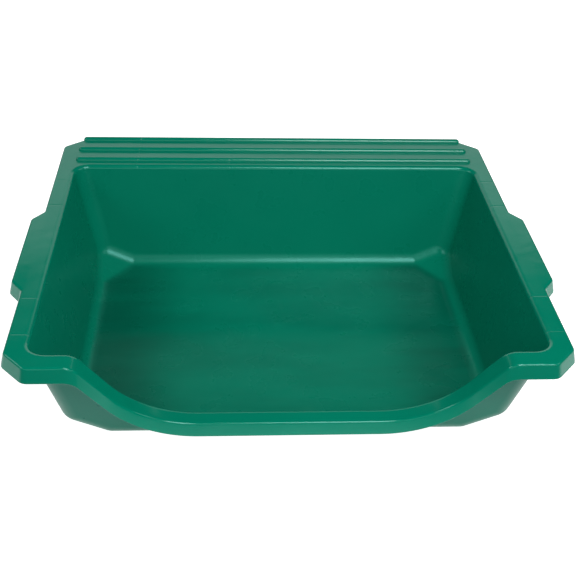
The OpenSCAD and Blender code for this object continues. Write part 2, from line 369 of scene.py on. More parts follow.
class Corner:
    """Ball centres and face normals of one basin corner, for +X and with +Y outward."""

    def __init__(self, end):
        h = FACET_H[end]
        top = Vector((FLOOR_HALF_W + h * side_run, FLOOR_END[end] + h * end_run[end], wall + h))
        on_end = Vector((FLOOR_HALF_W - FACET_X, FLOOR_END[end], wall))
        on_side = Vector((FLOOR_HALF_W, FLOOR_END[end] - FACET_Y, wall))
        self.n_side = side_normal
        self.n_end = end_normal[end]
        self.n_floor = -UP
        n = (on_end - top).cross(on_side - top).normalized()
        self.n_facet = -n if n.z > 0 else n
        d_side = self.n_side.dot(on_side) - FILLET
        d_end = self.n_end.dot(on_end) - FILLET
        d_floor = -wall - FILLET
        d_facet = self.n_facet.dot(on_side) - FILLET
        side, fin, floor, facet = self.n_side, self.n_end, self.n_floor, self.n_facet
        self.a = plane_point(side, d_side, fin, d_end, facet, d_facet)
        self.b = plane_point(fin, d_end, floor, d_floor, facet, d_facet)
        self.c = plane_point(side, d_side, floor, d_floor, facet, d_facet)
        self.climb = side.cross(fin)
        self.climb /= self.climb.z

    def wall_point(self, n, r, z):
        """Point on the rounded upright corner with ball direction n, at height z."""
        p = self.a + n * r
        return p + self.climb * (z - p.z)


CORNERS = {e: Corner(e) for e in (REAR, FRONT)}


def outwards(end, v):
    """Turns a vector between a Corner's frame, whose +Y is outward, and the part's frame."""
    return Vector((v.x, v.y * end, v.z))


def end_point(end, x, skin, z):
    """Point on an end wall's flat face, inside (skin 0) or outside, at x and height z."""
    c = CORNERS[end]
    p = c.b + c.n_end * (FILLET + skin)
    y = p.y + (z - p.z) * end_run[end]
    return Vector((x, y, z))


def side_point(end, y, skin, z):
    """The same on the side wall on +X, at y."""
    c = CORNERS[end]
    p = c.c + c.n_side * (FILLET + skin)
    x = p.x + (z - p.z) * side_run
    return Vector((x, y, z))


# ---- Front lip: drop below the rim ----

knee_end = dip_half - KNEE_R * math.sin(DIP_SLOPE)
knee_drop = KNEE_R * (1 - math.cos(DIP_SLOPE))
bowl_rise = BOWL_R * (1 - math.cos(DIP_SLOPE))
bowl_start = knee_end - (DIP - knee_drop - bowl_rise) / math.tan(DIP_SLOPE)
flat_half = bowl_start - BOWL_R * math.sin(DIP_SLOPE)


def dip_at(x):
    """How far the lip at x lies below the rim, and how steeply it rises along X there."""
    a = abs(x)
    if a >= dip_half:
        return 0.0, 0.0
    if a >= knee_end:
        turn = math.asin((dip_half - a) / KNEE_R)
        drop = KNEE_R * (1 - math.cos(turn))
    elif a >= bowl_start:
        turn = DIP_SLOPE
        drop = knee_drop + (knee_end - a) * math.tan(turn)
    elif a >= flat_half:
        turn = math.asin((a - flat_half) / BOWL_R)
        drop = DIP - BOWL_R * (1 - math.cos(turn))
    else:
        turn = 0.0
        drop = DIP
    return drop, math.tan(turn) * (1 if x > 0 else -1)


def dip_stations(x0, x1):
    """Places along the lip between x0 and x1, close together where it bends."""
    knee_turns = [DIP_SLOPE * k / KNEE_STEPS for k in range(KNEE_STEPS + 1)]
    bowl_turns = [DIP_SLOPE * k / BOWL_STEPS for k in range(BOWL_STEPS, -1, -1)]
    half = [dip_half - KNEE_R * math.sin(turn) for turn in knee_turns]
    half += [flat_half + BOWL_R * math.sin(turn) for turn in bowl_turns]
    xs = [-x for x in half] + half[::-1]
    inside = [x for x in xs if x0 + SAME_PLACE < x < x1 - SAME_PLACE]
    return [x0] + inside + [x1]


# ---- Stations round the basin's mouth ----


def mirror(v):
    """The same place or direction on the other side."""
    return Vector((-v.x, v.y, v.z))


class Mouth:
    """One station of the mouth's rounded edge: the wall's top, the rounding and the rim beside it."""

    def __init__(self, inner, outer, n_in, move=None):
        """inner(z) and outer(z) give the wall's faces, n_in points into the basin."""
        start_z = rim_z - MOUTH_R + MOUTH_R * n_in.z
        self.wall_in = inner(start_z)
        self.wall_out = outer(under_z)
        centre = self.wall_in - n_in * MOUTH_R
        self.normals = arc(n_in, UP)
        self.points = [centre + n * MOUTH_R for n in self.normals]
        self.foot = self.points[-1] - UP * wall
        if move is not None:
            self.shear(move)

    def shear(self, x):
        """Follows the front lip down at a distance x from the middle."""
        drop, slope = dip_at(x)
        run = end_run[FRONT]
        shift = Vector((0, drop * run, -drop))
        along = Vector((1, -slope * run, slope))
        for k, n in enumerate(self.normals):
            tangent = Vector((0, -n.z, n.y))
            turned = along.cross(tangent)
            self.normals[k] = turned.normalized() * (1 if turned.dot(n) > 0 else -1)
        self.points = [p + shift for p in self.points]
        self.wall_in = self.points[0]
        self.wall_out = self.wall_out + shift
        self.foot = self.foot + shift

    def mirrored(self):
        """The same station on the other side."""
        twin = Mouth.__new__(Mouth)
        twin.wall_in = mirror(self.wall_in)
        twin.wall_out = mirror(self.wall_out)
        twin.points = [mirror(p) for p in self.points]
        twin.normals = [mirror(n) for n in self.normals]
        twin.foot = mirror(self.foot)
        return twin


def end_mouth(end, x, sheared=False):
    """The station of an end wall at x. Sheared, it follows the front lip down."""
    n_in = -outwards(end, end_normal[end])
    return Mouth(
        lambda z: outwards(end, end_point(end, x, 0, z)),
        lambda z: outwards(end, end_point(end, x, wall, z)),
        n_in,
        x if sheared else None,
    )


def side_mouth(y):
    """The station of the side wall on +X at y."""
    end = REAR if y > 0 else FRONT
    return Mouth(
        lambda z: side_point(end, y, 0, z),
        lambda z: side_point(end, y, wall, z),
        -side_normal,
    )


def corner_mouths(end):
    """Stations round one upright corner on +X, from the end wall to the side wall."""
    c = CORNERS[end]
    found = []
    for n in arc(c.n_end, c.n_side):
        found.append(
            Mouth(
                lambda z, n=n: outwards(end, c.wall_point(n, FILLET, z)),
                lambda z, n=n: outwards(end, c.wall_point(n, FILLET + wall, z)),
                -outwards(end, n),
            )
        )
    return found


def mouth_strip(solid, stations):
    """The rounded edge of the mouth through a row of stations, open where the flat rim joins it."""
    for s, t in zip(stations, stations[1:]):
        solid.strip(s.points, t.points, s.normals, t.normals)
        solid.flat_strip([s.foot, s.wall_out], [t.foot, t.wall_out], -UP)
        solid.flat_strip([s.wall_out, s.wall_in], [t.wall_out, t.wall_in], -UP)
    for s, away in ((stations[0], stations[1]), (stations[-1], stations[-2])):
        hint = s.points[-1] - away.points[-1]
        solid.face(s.points + [s.foot, s.wall_out], hint)


# ---- Stations round the rim's outer edge ----


class Edge:
    """One station of the rim's outer edge: where the flat top ends, and the way outward."""

    def __init__(self, x, y, nx, ny):
        self.x = x
        self.y = y
        self.nx = nx
        self.ny = ny

    def mirrored(self):
        """The same station on the other side."""
        return Edge(-self.x, self.y, -self.nx, self.ny)


def edge_outline():
    """The rim's outer outline on +X, from the middle of the rear edge round to the dip."""
    grip_mid_top = grip_top_y - GRIP_RAMP
    grip_mid_low = grip_low_y + GRIP_RAMP
    corners = [
        ((half_w - REAR_CUT[0], half_d), OUTLINE_R),
        ((half_w, half_d - REAR_CUT[1]), OUTLINE_R),
        ((half_w, grip_top_y), -OUTLINE_HOLLOW_R),
        ((grip_x, grip_mid_top), OUTLINE_R),
        ((grip_x, grip_mid_low), OUTLINE_R),
        ((half_w, grip_low_y), -OUTLINE_HOLLOW_R),
        ((half_w, -half_d + FRONT_CUT[1]), OUTLINE_R),
        ((half_w - FRONT_CUT[0], -half_d), OUTLINE_R),
    ]
    before = [(0, half_d)] + [p for p, r in corners[:-1]]
    after = [p for p, r in corners[1:]] + [(dip_half, -half_d)]
    groups = []
    for (p, r), a, b in zip(corners, before, after):
        p = Vector(p)
        d_in = (p - Vector(a)).normalized()
        d_out = (Vector(b) - p).normalized()
        n_in = Vector((-d_in.y, d_in.x))
        n_out = Vector((-d_out.y, d_out.x))
        mitre = (n_in + n_out) / (1 + n_in.dot(n_out))
        flat = p - mitre * EDGE_IN
        # r is the radius of the outer line: positive at a convex corner, negative at a hollow one.
        flat_r = r - EDGE_IN
        centre = flat - mitre * flat_r
        group = []
        for n in arc(n_in, n_out, OUTLINE_STEPS):
            q = centre + n * flat_r
            group.append(Edge(q.x, q.y, n.x, n.y))
        groups.append(group)
    return groups


REAR_IN, REAR_OUT, GRIP_1, GRIP_2, GRIP_3, GRIP_4, FRONT_OUT, FRONT_IN = edge_outline()

# The skirts are parted at the middle station of a rounded corner.
middle = OUTLINE_STEPS // 2


def skirt_section():
    """The skirt's outline, from the rim's top round its foot to the rim's underside.

    Each item is a point and a normal, as (outward, upward), from where the rim's flat top ends.
    """
    lean = math.atan2(flare, skirt_h)
    face = Vector((math.cos(lean), math.sin(lean)))
    top = Vector((0, 1))
    top_r = EDGE_IN / math.tan((math.pi / 2 - lean) / 2)
    down = Vector((0, -1))
    inside = -face
    along = Vector((face.y, -face.x))
    points = [(n * top_r - top * top_r, n) for n in arc(top, face, SKIRT_EDGE_STEPS)]

    outer_low = Vector((EDGE_IN + flare, -skirt_h))
    outer_len = SKIRT_OUTER_R * math.tan((math.pi / 2 + lean) / 2)
    centre = outer_low - along * outer_len - face * SKIRT_OUTER_R
    points += [(centre + n * SKIRT_OUTER_R, n) for n in arc(face, down, SKIRT_OUTER_STEPS)]

    inner_low = Vector((EDGE_IN + flare - wall, -skirt_h))
    inner_len = SKIRT_INNER_R * math.tan((math.pi / 2 - lean) / 2)
    centre = inner_low - along * inner_len - inside * SKIRT_INNER_R
    points += [(centre + n * SKIRT_INNER_R, n) for n in arc(down, inside, SKIRT_INNER_STEPS)]

    inner_top = inner_low - along * ((skirt_h - wall) / math.cos(lean))
    hollow_len = SKIRT_HOLLOW_R * math.tan((math.pi / 2 - lean) / 2)
    centre = inner_top + along * hollow_len + inside * SKIRT_HOLLOW_R
    points += [(centre - n * SKIRT_HOLLOW_R, n) for n in arc(inside, down, SKIRT_INNER_STEPS)]
    points.append((Vector((0, -wall)), down))
    return points


SKIRT = skirt_section()


def skirt_row(edge):
    """The skirt's outline at a station, as points and normals."""
    out = Vector((edge.nx, edge.ny, 0))
    base = Vector((edge.x, edge.y, rim_z))
    points = [base + out * p.x + UP * p.y for p, _ in SKIRT]
    normals = [out * n.x + UP * n.y for _, n in SKIRT]
    return points, normals


def skirt_loft(solid, rows):
    """A closed skirt through rows of points and normals."""
    for (p, m), (q, n) in zip(rows, rows[1:]):
        solid.strip(p, q, m, n)
        solid.face([p[-1], p[0], q[0], q[-1]], p[-1] - p[SKIRT_EDGE_STEPS])
    for (p, _), (q, _) in ((rows[0], rows[1]), (rows[-1], rows[-2])):
        solid.face(p, p[0] - q[0])


def lip_outer_shift(x):
    """How far the lip's outer edge stands behind the rim's front edge, and its rate along x."""
    drop, slope = dip_at(x)
    narrow = (half_d - OPENING_END[FRONT] - LIP_W) / DIP
    rate = end_run[FRONT] + narrow
    return drop * rate, -slope * rate


def lip_skirt_row(x):
    """The lip's skirt at x, as points and normals: lower than the rim's skirt, and sheared."""
    drop, slope = dip_at(x)
    back, back_rate = lip_outer_shift(x)
    along = Vector((1, back_rate, slope))
    squat = 1 - (1 - LIP_SKIRT_H / skirt_h) * drop / DIP
    points = []
    normals = []
    for p, n in SKIRT:
        points.append(Vector((x, -half_d + EDGE_IN - p.x + back, rim_z + p.y * squat - drop)))
        flat = Vector((0, -n.x, n.y))
        tangent = Vector((0, -flat.z, flat.y))
        turned = along.cross(tangent).normalized()
        normals.append(turned if turned.dot(flat) > 0 else -turned)
    return points, normals


# ---- The basin's pieces ----


def end_section(end, x, skin):
    """Points and ball directions of the fillet between an end wall and the floor, at x."""
    c = CORNERS[end]
    dirs = arc(c.n_floor, c.n_end)
    r = FILLET + skin
    return [Vector((x, c.b.y + n.y * r, c.b.z + n.z * r)) for n in dirs], dirs


def side_section(y, skin):
    """The same for the side wall on +X, at a distance y from the middle."""
    c = CORNERS[REAR]
    dirs = arc(c.n_floor, c.n_side)
    r = FILLET + skin
    return [Vector((c.c.x + n.x * r, y, c.c.z + n.z * r)) for n in dirs], dirs


def facing(skin, n):
    """The visible normal on the inside (skin 0) points away from the ball's direction."""
    return n if skin else -n


class Placed(Solid):
    """A solid drawn for +X and +Y outward, and placed on the chosen side and end."""

    def __init__(self, side, end):
        super().__init__()
        self.side = side
        self.end = end

    def flip(self, v):
        """Turns a place or direction as drawn into the part's frame."""
        return Vector((v.x * self.side, v.y * self.end, v.z))

    def face(self, points, normals):
        points = [self.flip(p) for p in points]
        if isinstance(normals, Vector):
            normals = self.flip(normals)
        else:
            normals = [self.flip(n) for n in normals]
        super().face(points, normals)


def ball_patch(solid, centre, r, skin, d1, d2, d3):
    """The part of a ball between three directions."""
    rows = []
    for k, (a, b) in enumerate(zip(arc(d1, d2), arc(d1, d3))):
        rows.append([slerp(a, b, j / k) if k else d1 for j in range(k + 1)])
    for upper, lower in zip(rows, rows[1:]):
        for j in range(len(upper)):
            trio = [upper[j], lower[j], lower[j + 1]]
            solid.face([centre + n * r for n in trio], [facing(skin, n) for n in trio])
            if j + 1 < len(upper):
                trio = [upper[j], lower[j + 1], upper[j + 1]]
                solid.face([centre + n * r for n in trio], [facing(skin, n) for n in trio])


def ball_strip(solid, a, b, dirs, r, skin):
    """The part of a cylinder between two ball centres."""
    shown = [facing(skin, n) for n in dirs]
    solid.strip([a + n * r for n in dirs], [b + n * r for n in dirs], shown, shown)


def corner_piece(side, end, name):
    """A corner of the basin: two walls, the rounding between them, the facet and its floor."""
    c = CORNERS[end]
    solid = Placed(side, end)
    cut_y = CORNER_Y[end]
    if end == REAR:
        start = [end_mouth(REAR, CORNER_X)]
    else:
        start = [end_mouth(FRONT, x, True) for x in dip_stations(CORNER_X, dip_half)]
    turn = corner_mouths(end)
    stations = start + turn + [side_mouth(cut_y * end)]
    tops = {
        0: [outwards(end, m.wall_in) for m in stations],
        wall: [outwards(end, m.wall_out) for m in stations],
    }
    first = len(start)
    last = first + len(turn) - 1
    end_cap = []
    side_cap = []
    for skin in (0, wall):
        r = FILLET + skin
        top = tops[skin]
        nt, ne, ns, nf = c.n_facet, c.n_end, c.n_side, c.n_floor
        solid.face([p + nt * r for p in (c.a, c.b, c.c)], [facing(skin, nt)] * 3)
        ball_strip(solid, c.a, c.b, arc(nt, ne), r, skin)
        ball_strip(solid, c.a, c.c, arc(nt, ns), r, skin)
        ball_strip(solid, c.b, c.c, arc(nt, nf), r, skin)
        ball_strip(solid, c.b, Vector((CORNER_X, c.b.y, c.b.z)), arc(nf, ne), r, skin)
        ball_strip(solid, c.c, Vector((c.c.x, cut_y, c.c.z)), arc(nf, ns), r, skin)
        ball_patch(solid, c.a, r, skin, nt, ne, ns)
        ball_patch(solid, c.b, r, skin, nt, ne, nf)
        ball_patch(solid, c.c, r, skin, nt, ns, nf)
        upright = arc(ne, ns)
        shown = [facing(skin, n) for n in upright]
        solid.strip([c.a + n * r for n in upright], top[first : last + 1], shown, shown)
        end_rows, _ = end_section(end, CORNER_X, skin)
        side_rows, _ = side_section(cut_y, skin)
        floor_z = end_rows[0].z
        inner = Vector((CORNER_X, cut_y, floor_z))
        floor = [inner, end_rows[0], c.b + nf * r, c.c + nf * r, side_rows[0]]
        solid.face(floor, [facing(skin, nf)] * len(floor))
        end_face = [end_rows[-1], c.b + ne * r, c.a + ne * r] + top[: first + 1][::-1]
        solid.face(end_face, [facing(skin, ne)] * len(end_face))
        side_face = [side_rows[-1], c.c + ns * r, c.a + ns * r] + top[last:]
        solid.face(side_face, [facing(skin, ns)] * len(side_face))
        end_cap.append([inner] + end_rows + [top[0]])
        side_cap.append([inner] + side_rows + [top[-1]])
    solid.flat_strip(tops[0], tops[wall], UP)
    solid.face(end_cap[0] + end_cap[1][::-1], Vector((-1, 0, 0)))
    solid.face(side_cap[0] + side_cap[1][::-1], Vector((0, -1, 0)))
    solid.build(name, "basin_wall", green_basin, name)


def end_wall_piece(end, name):
    """The rear or front wall between its corners, with its fillet and a strip of floor."""
    solid = Placed(RIGHT, end)
    if end == REAR:
        stations = [end_mouth(REAR, x) for x in (-CORNER_X, CORNER_X)]
    else:
        stations = [end_mouth(FRONT, x, True) for x in dip_stations(-CORNER_X, CORNER_X)]
    tops = {
        0: [outwards(end, m.wall_in) for m in stations],
        wall: [outwards(end, m.wall_out) for m in stations],
    }
    caps = {-1: [], 1: []}
    edges = []
    for skin in (0, wall):
        left, dirs = end_section(end, -CORNER_X, skin)
        right, _ = end_section(end, CORNER_X, skin)
        shown = [facing(skin, n) for n in dirs]
        solid.strip(left, right, shown, shown)
        edge = [Vector((x, FLOOR_Y[end], left[0].z)) for x in (-CORNER_X, CORNER_X)]
        solid.face(edge + [right[0], left[0]], facing(skin, -UP))
        n_wall = facing(skin, CORNERS[end].n_end)
        wall_face = [left[-1]] + tops[skin] + [right[-1]]
        solid.face(wall_face, [n_wall] * len(wall_face))
        caps[-1].append([edge[0]] + left + [tops[skin][0]])
        caps[1].append([edge[1]] + right + [tops[skin][-1]])
        edges.append(edge)
    solid.flat_strip(tops[0], tops[wall], UP)
    solid.flat_strip(edges[0], edges[1], Vector((0, -1, 0)))
    for way, (inner, outer) in caps.items():
        solid.face(inner + outer[::-1], Vector((way, 0, 0)))
    solid.build(name, "basin_wall", green_basin, name)


def side_wall_piece(side, name):
    """The left or right wall between its corners, with its fillet and a strip of floor."""
    solid = Placed(side, REAR)
    ys = (-CORNER_Y[FRONT], CORNER_Y[REAR])
    stations = [side_mouth(y) for y in ys]
    tops = {0: [m.wall_in for m in stations], wall: [m.wall_out for m in stations]}
    caps = {-1: [], 1: []}
    edges = []
    for skin in (0, wall):
        front, dirs = side_section(ys[0], skin)
        back, _ = side_section(ys[1], skin)
        shown = [facing(skin, n) for n in dirs]
        solid.strip(front, back, shown, shown)
        edge = [Vector((FLOOR_X, y, front[0].z)) for y in ys]
        solid.face(edge + [back[0], front[0]], facing(skin, -UP))
        n_wall = facing(skin, side_normal)
        solid.face([front[-1], tops[skin][0], tops[skin][1], back[-1]], [n_wall] * 4)
        caps[-1].append([edge[0]] + front + [tops[skin][0]])
        caps[1].append([edge[1]] + back + [tops[skin][1]])
        edges.append(edge)
    solid.flat_strip(tops[0], tops[wall], UP)
    solid.flat_strip(edges[0], edges[1], Vector((-1, 0, 0)))
    for way, (inner, outer) in caps.items():
        solid.face(inner + outer[::-1], Vector((0, way, 0)))
    solid.build(name, "basin_wall", green_basin, name)


def floor_piece():
    """The flat middle of the floor, a cross that reaches out between the corner pieces."""
    solid = Solid()
    right = [
        (CORNER_X, -FLOOR_Y[FRONT]),
        (CORNER_X, -CORNER_Y[FRONT]),
        (FLOOR_X, -CORNER_Y[FRONT]),
        (FLOOR_X, CORNER_Y[REAR]),
        (CORNER_X, CORNER_Y[REAR]),
        (CORNER_X, FLOOR_Y[REAR]),
    ]
    left = [(-x, y) for x, y in right[::-1]]
    solid.prism(right + left, 0, wall)
    solid.build("floor_pan", "basin_floor", green_basin, "floor_pan")


# ---- The rim's pieces ----


def plan(points):
    """The places of points or edge stations, seen from above."""
    return [(p.x, p.y) for p in points]


def rim_piece(name, material, stations, outer, side=RIGHT):
    """A flat region of the rim with the mouth's rounded edge on its inner side."""
    solid = Placed(side, REAR)
    mouth_strip(solid, stations)
    inner = plan([m.points[-1] for m in stations])
    solid.prism(inner + outer, under_z, rim_z, open_points=len(inner))
    solid.build(name, "rim", material, name)


def make_rims():
    """The rim's flat top: the ledge, the side rims, the grips and the front decks."""
    rim_x = half_w - EDGE_IN
    right = [side_mouth(LEDGE_FRONT_Y)] + corner_mouths(REAR)[::-1]
    stations = right + [m.mirrored() for m in right[::-1]]
    outer_right = [(rim_x, LEDGE_FRONT_Y)] + plan(REAR_OUT[::-1]) + plan(REAR_IN[::-1])
    outer_left = [(-x, y) for x, y in outer_right]
    rim_piece("rear_ledge", green_ledge, stations, outer_left + outer_right[::-1])
    for side, word in SIDES:
        stations = [side_mouth(LEDGE_FRONT_Y), side_mouth(DECK_REAR_Y)]
        outer = [(rim_x, DECK_REAR_Y), (rim_x, LEDGE_FRONT_Y)]
        rim_piece(f"{word}_rim", green_side, stations, outer, side)
        grip = Placed(side, REAR)
        grip.prism(plan(GRIP_1 + GRIP_2 + GRIP_3 + GRIP_4), under_z, rim_z)
        grip.build(f"{word}_grip", "rim", green, f"{word}_grip")
        stations = [end_mouth(FRONT, dip_half)] + corner_mouths(FRONT) + [side_mouth(DECK_REAR_Y)]
        outer = [(rim_x, DECK_REAR_Y)] + plan(FRONT_OUT) + plan(FRONT_IN)
        outer.append((dip_half, -half_d + EDGE_IN))
        rim_piece(f"front_{word}_deck", green, stations, outer, side)


def make_skirts():
    """The skirts round the rim. Each starts and ends in the middle of a rounded corner."""
    right = REAR_IN + REAR_OUT[: middle + 1]
    rows = [e.mirrored() for e in right[::-1]] + right
    solid = Solid()
    skirt_loft(solid, [skirt_row(e) for e in rows])
    solid.build("rear_skirt", "rim", green, "rear_skirt")
    dip_edge = Edge(dip_half, -half_d + EDGE_IN, 0, -1)
    runs = {
        "{}_rear_skirt": REAR_OUT[middle:] + GRIP_1[: middle + 1],
        "{}_grip_skirt": GRIP_1[middle:] + GRIP_2 + GRIP_3 + GRIP_4[: middle + 1],
        "{}_front_skirt": GRIP_4[middle:] + FRONT_OUT[: middle + 1],
        "front_{}_skirt": FRONT_OUT[middle:] + FRONT_IN + [dip_edge],
    }
    for side, word in SIDES:
        for pattern, edges in runs.items():
            solid = Placed(side, REAR)
            skirt_loft(solid, [skirt_row(e) for e in edges])
            name = pattern.format(word)
            solid.build(name, "rim", green, name)


def make_scoop():
    """The dipped front lip and its skirt."""
    xs = dip_stations(-dip_half, dip_half)
    skirt = Solid()
    rows = [lip_skirt_row(x) for x in xs]
    skirt_loft(skirt, rows)
    skirt.build("scoop_skirt", "rim", green, "scoop_skirt")
    lip = Solid()
    stations = [end_mouth(FRONT, x, True) for x in xs]
    mouth_strip(lip, stations)
    for k in range(len(xs) - 1):
        s, t = stations[k], stations[k + 1]
        (p, m), (q, n) = rows[k], rows[k + 1]
        lip.face(
            [s.points[-1], t.points[-1], q[0], p[0]],
            [s.normals[-1], t.normals[-1], n[0], m[0]],
        )
        lip.face([p[0], q[0], q[-1], p[-1]], Vector((0, -1, 0)))
        lip.face([p[-1], q[-1], t.foot, s.foot], -UP)
    for k, way in ((0, -1), (-1, 1)):
        s, p = stations[k], rows[k][0]
        lip.face([s.points[-1], p[0], p[-1], s.foot], Vector((way, 0, 0)))
    lip.build("scoop_lip", "rim", green, "scoop_lip")


def rib_rings(y, straight_half):
    """Half rings of points and normals along a rib: round one end, then round the other."""
    rings = []
    for way in (-1, 1):
        for k in range(RIB_END_STEPS + 1):
            share = k / RIB_END_STEPS
            turn = (math.pi / 2) * (share - 1 if way < 0 else share)
            centre = Vector((way * straight_half + rib_r * math.sin(turn), y, rim_z))
            across = math.cos(turn)
            dirs = []
            for j in range(RIB_STEPS + 1):
                climb = math.pi * j / RIB_STEPS
                y_part = across * math.cos(climb)
                z_part = across * math.sin(climb)
                dirs.append(Vector((math.sin(turn), y_part, z_part)))
            rings.append(([centre + Vector((0, d.y, d.z)) * rib_r for d in dirs], dirs))
    return rings


def make_ribs():
    """The half-round ribs on the ledge, with feet that are sunk into it."""
    sink = Vector((0, 0, -RIB_SINK))
    for name in RIBS:
        straight_half = corner_of(name, True).x - rib_r
        rings = rib_rings(middle_of(name, Y_AXIS), straight_half)
        solid = Solid()
        for (p, m), (q, n) in zip(rings, rings[1:]):
            solid.strip(p, q, m, n)
            for k, way in ((0, 1), (-1, -1)):
                solid.face([p[k], q[k], q[k] + sink, p[k] + sink], Vector((0, way, 0)))
            solid.face([p[0] + sink, q[0] + sink, q[-1] + sink, p[-1] + sink], -UP)
        for (p, _), way in ((rings[0], -1), (rings[-1], 1)):
            solid.face([p[0], p[0] + sink, p[-1] + sink, p[-1]], Vector((way, 0, 0)))
        solid.build(name, "ledge_rib", green_rib, name)


def plate(solid, place, outline, thickness):
    """A flat plate over an (outward, height) outline.

    place turns (outward, across, height) into a point of the part's frame.
    """
    half = thickness / 2
    faces = [[place(u, way * half, z) for u, z in outline] for way in (-1, 1)]
    out = place(0, 1, 0) - place(0, 0, 0)
    solid.face(faces[0], -out)
    solid.face(faces[1], out)
    middle_point = sum(faces[0] + faces[1], Vector((0, 0, 0))) / (2 * len(outline))
    for k in range(len(outline)):
        j = (k + 1) % len(outline)
        ring = [faces[0][k], faces[0][j], faces[1][j], faces[1][k]]
        hint = sum(ring, Vector((0, 0, 0))) / len(ring) - middle_point
        solid.face(ring, hint)


def gusset_piece(name, axis, way, floor_end, run, rim_end):
    """A plate under the rim, from the basin's leaning wall out to the skirt.

    axis is the one that the plate is thin along, and way is the side or end that it stands on.
    """
    centre = middle_of(name, axis)
    low_z = corner_of(name, False).z
    thickness = corner_of(name, True)[axis] - corner_of(name, False)[axis]

    def place(out, across, z):
        if axis == X_AXIS:
            return Vector((centre + across, way * out, z))
        return Vector((way * out, centre + across, z))

    def wall_out(z):
        return floor_end + wall * math.hypot(1, run) + (z - wall) * run

    outline = [
        (wall_out(low_z), low_z),
        (rim_end - wall, skirt_z + GUSSET_RISE),
        (rim_end - wall, under_z),
        (wall_out(under_z), under_z),
    ]
    solid = Solid()
    plate(solid, place, outline, thickness)
    solid.build(name, "gusset", green, name)


def make_gussets():
    """The stiffening plates under the ledge, the side rims and the front decks."""
    for k in GUSSET_NUMBERS:
        name = f"ledge_gusset_{k}"
        gusset_piece(name, X_AXIS, REAR, FLOOR_END[REAR], end_run[REAR], half_d)
        for side, word in SIDES:
            gusset_piece(f"{word}_gusset_{k}", Y_AXIS, side, FLOOR_HALF_W, side_run, half_w)
    for _, word in SIDES:
        name = f"front_{word}_gusset"
        gusset_piece(name, X_AXIS, FRONT, FLOOR_END[FRONT], end_run[FRONT], half_d)


# ---- Material ----


def ramp_between(tree, value, low, high, start, end):
    """A smooth change from start at value = low to end at value = high."""
    node = tree.nodes.new("ShaderNodeMapRange")
    node.interpolation_type = "SMOOTHSTEP"
    node.inputs["From Min"].default_value = low
    node.inputs["From Max"].default_value = high
    node.inputs["To Min"].default_value = start
    node.inputs["To Max"].default_value = end
    tree.links.new(value, node.inputs["Value"])
    return node.outputs["Result"]


def noise(tree, vector, scale, detail):
    """Cloudy noise over a vector socket."""
    node = tree.nodes.new("ShaderNodeTexNoise")
    node.inputs["Scale"].default_value = scale
    node.inputs["Detail"].default_value = detail
    tree.links.new(vector, node.inputs["Vector"])
    return node.outputs["Fac"]


def maths(tree, operation, first, second=0):
    """One step of arithmetic on sockets or plain numbers."""
    node = tree.nodes.new("ShaderNodeMath")
    node.operation = operation
    for socket, value in zip(node.inputs, (first, second)):
        if isinstance(value, (int, float)):
            socket.default_value = value
        else:
            tree.links.new(value, socket)
    return node.outputs["Value"]


def axes_of(tree, vector):
    """The X, Y and Z of a vector socket."""
    node = tree.nodes.new("ShaderNodeSeparateXYZ")
    tree.links.new(vector, node.inputs["Vector"])
    return node.outputs


def two_tone(tree, share, low, high):
    """A colour between low, at a share of 0, and high, at a share of 1."""
    node = tree.nodes.new("ShaderNodeValToRGB")
    node.color_ramp.elements[0].color = (*low, 1)
    node.color_ramp.elements[1].color = (*high, 1)
    tree.links.new(share, node.inputs["Fac"])
    return node.outputs["Color"]


def skin_relief(tree, where, sinks):
    """Slow waviness of the skin, fine grain, and shallow sink lines over the gussets."""
    height = maths(tree, "MULTIPLY", noise(tree, where, *WAVES), WAVE_HEIGHT)
    grain = maths(tree, "MULTIPLY", noise(tree, where, *GRAIN), GRAIN_HEIGHT)
    height = maths(tree, "ADD", height, grain)
    if sinks:
        axis, places = sinks
        along = axes_of(tree, where)[axis]
        for place in places:
            gap = maths(tree, "ABSOLUTE", maths(tree, "SUBTRACT", along, place))
            dent = ramp_between(tree, gap, *SINK_HALF_WIDTHS, -SINK_DEPTH, 0)
            height = maths(tree, "ADD", height, dent)
    bump = tree.nodes.new("ShaderNodeBump")
    bump.inputs["Strength"].default_value = 1
    bump.inputs["Distance"].default_value = BUMP_DEPTH
    tree.links.new(height, bump.inputs["Height"])
    return bump.outputs["Normal"]


def make_green(name, colour, shine, tint, sinks=None, shade=None):
    """Moulded green plastic, cloudy flow marks, worn gloss, and painted shade on downward faces.

    shine is the roughness at its smoothest and at its dullest. sinks is an axis and the places of
    sink lines along it. shade, if given, makes a further factor of the colour.
    """
    material = bpy.data.materials.new(name)
    material.use_nodes = True
    tree = material.node_tree
    shader = tree.nodes["Principled BSDF"]
    where = tree.nodes.new("ShaderNodeTexCoord").outputs["Object"]
    up = axes_of(tree, tree.nodes.new("ShaderNodeNewGeometry").outputs["Normal"])["Z"]

    amount = ramp_between(tree, noise(tree, where, *CLOUDS), *NOISE_MIDDLE, CLOUD_SHADE, 1)
    # Painted shade: faces whose normal points down and out get a darker colour.
    outside = ramp_between(tree, up, *DOWNWARD_SHADE_NORMAL_Z, DOWNWARD_PAINTED_SHADE, 1)
    amount = maths(tree, "MULTIPLY", amount, outside)
    if shade:
        amount = maths(tree, "MULTIPLY", amount, shade(tree, where, up))
    tree.links.new(two_tone(tree, amount, (0, 0, 0), colour), shader.inputs["Base Color"])

    rough = ramp_between(tree, noise(tree, where, *WEAR), *NOISE_MIDDLE, *shine)
    tree.links.new(rough, shader.inputs["Roughness"])
    tree.links.new(skin_relief(tree, where, sinks), shader.inputs["Normal"])
    shader.inputs["IOR"].default_value = PLASTIC_IOR
    shader.inputs["Specular Tint"].default_value = tint
    return material


